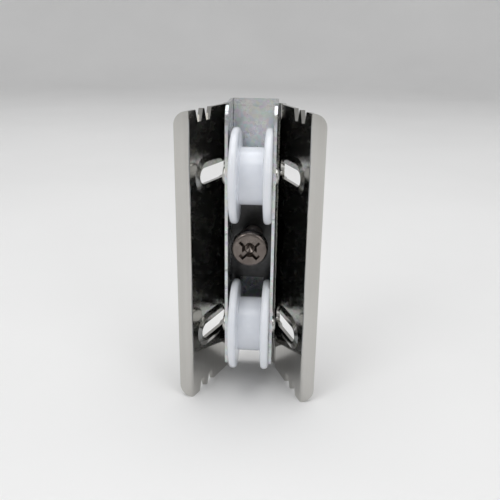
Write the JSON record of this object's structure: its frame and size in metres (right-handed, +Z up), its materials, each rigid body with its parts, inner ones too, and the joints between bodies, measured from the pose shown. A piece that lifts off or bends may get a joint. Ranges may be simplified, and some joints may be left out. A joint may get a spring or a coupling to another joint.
{
  "type": "sliding door roller",
  "caption": "Flared stainless housing with an adjustable channel carriage holding grooved wheels in line, moved in and out by a central screw.",
  "frame": {"origin": "under the middle of the whole part, level with the housing's lower end", "axes": "+Z up along the housing, +X across it, +Y from the open wheel side to the flat web"},
  "size_m": [0.036, 0.0266, 0.0776],
  "materials": {
    "stainless": "polished",
    "galvanised": "bright zinc",
    "zinc": "satin",
    "dark_nickel": "satin",
    "spring_steel": "oiled",
    "white_plastic": "moulded",
    "bearing_steel": "ground",
    "cage_brass": "pressed"
  },
  "bodies": {
    "housing": {"housing": "stainless", "thrust_washer": "spring_steel"},
    "carriage": {"carriage": "galvanised", "nut_plate": "spring_steel", "upper_axle": "zinc", "upper_inner_race": "bearing_steel", "upper_spacer_left": "zinc", "upper_spacer_right": "zinc", "lower_axle": "zinc", "lower_inner_race": "bearing_steel", "lower_spacer_left": "zinc", "lower_spacer_right": "zinc"},
    "screw": {"adjusting_screw": "dark_nickel"},
    "upper_wheel": {"upper_wheel": "white_plastic", "upper_outer_race": "bearing_steel", "upper_shield_left": "zinc", "upper_shield_right": "zinc"},
    "upper_cage": {"upper_ball_cage": "cage_brass", "upper_balls": "bearing_steel"},
    "lower_wheel": {"lower_wheel": "white_plastic", "lower_outer_race": "bearing_steel", "lower_shield_left": "zinc", "lower_shield_right": "zinc"},
    "lower_cage": {"lower_ball_cage": "cage_brass", "lower_balls": "bearing_steel"}
  },
  "joints": [
    {"name": "carriage_slide", "type": "slide", "parent": "housing", "child": "carriage", "axis": [0, -1, 0], "range_m": [0, 0.004]},
    {"name": "screw_turn", "type": "hinge", "parent": "housing", "child": "screw", "pos_m": [0, -0.0038, 0.0412], "axis": [0, 1, 0], "range_deg": [0, 1440]},
    {"name": "upper_wheel_spin", "type": "hinge", "parent": "carriage", "child": "upper_wheel", "pos_m": [0, -0.0013, 0.0599], "axis": [1, 0, 0], "continuous": true},
    {"name": "upper_cage_spin", "type": "hinge", "parent": "carriage", "child": "upper_cage", "pos_m": [0, -0.0013, 0.0599], "axis": [1, 0, 0], "continuous": true},
    {"name": "lower_wheel_spin", "type": "hinge", "parent": "carriage", "child": "lower_wheel", "pos_m": [0, -0.0013, 0.0193], "axis": [1, 0, 0], "continuous": true},
    {"name": "lower_cage_spin", "type": "hinge", "parent": "carriage", "child": "lower_cage", "pos_m": [0, -0.0013, 0.0193], "axis": [1, 0, 0], "continuous": true}
  ],
  "couplings": [
    {"joint": "screw_turn", "follows": "carriage_slide", "rad_per_m": 6283.2},
    {"joint": "upper_cage_spin", "follows": "upper_wheel_spin", "ratio": 0.63333},
    {"joint": "lower_cage_spin", "follows": "lower_wheel_spin", "ratio": 0.63333}
  ]
}
